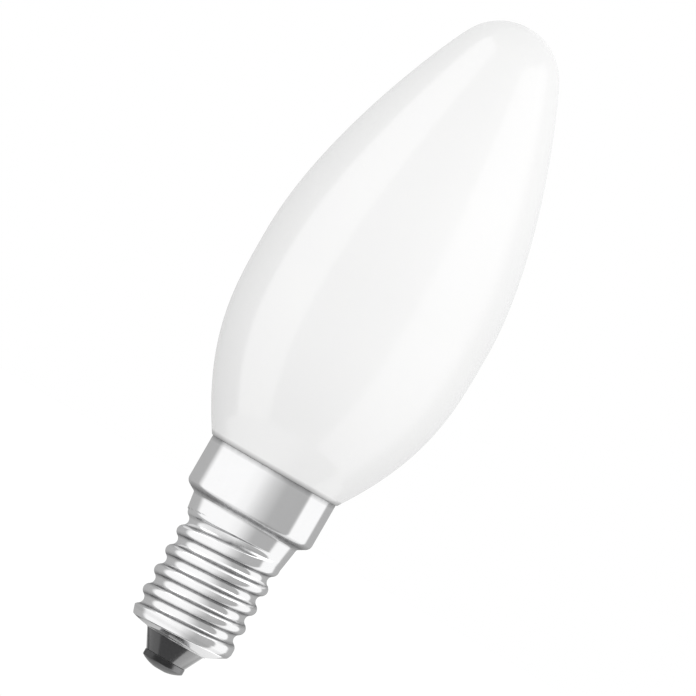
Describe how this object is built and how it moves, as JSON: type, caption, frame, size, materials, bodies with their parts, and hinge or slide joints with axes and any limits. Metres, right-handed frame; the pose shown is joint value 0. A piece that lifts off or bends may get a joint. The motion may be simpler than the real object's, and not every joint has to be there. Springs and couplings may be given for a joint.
{
  "type": "candle bulb",
  "caption": "A frosted white candle-shaped bulb with a bright metal screw cap, a black tapered insulator and a small domed centre contact.",
  "frame": {"origin": "the end face of the centre contact, on the bulb's axis", "axes": "+Z runs along the bulb's axis from the contact to the glass tip; the groove of the thread starts at +X"},
  "size_m": [0.032, 0.032, 0.093],
  "materials": {
    "frosted_glass": "frosted, satin",
    "cap_metal": "bright",
    "black_insulator": "gloss",
    "contact_metal": "bright"
  },
  "bodies": {
    "root": {"glass_bulb": "frosted_glass", "screw_shell": "cap_metal", "insulator": "black_insulator", "centre_contact": "contact_metal"}
  },
  "joints": []
}
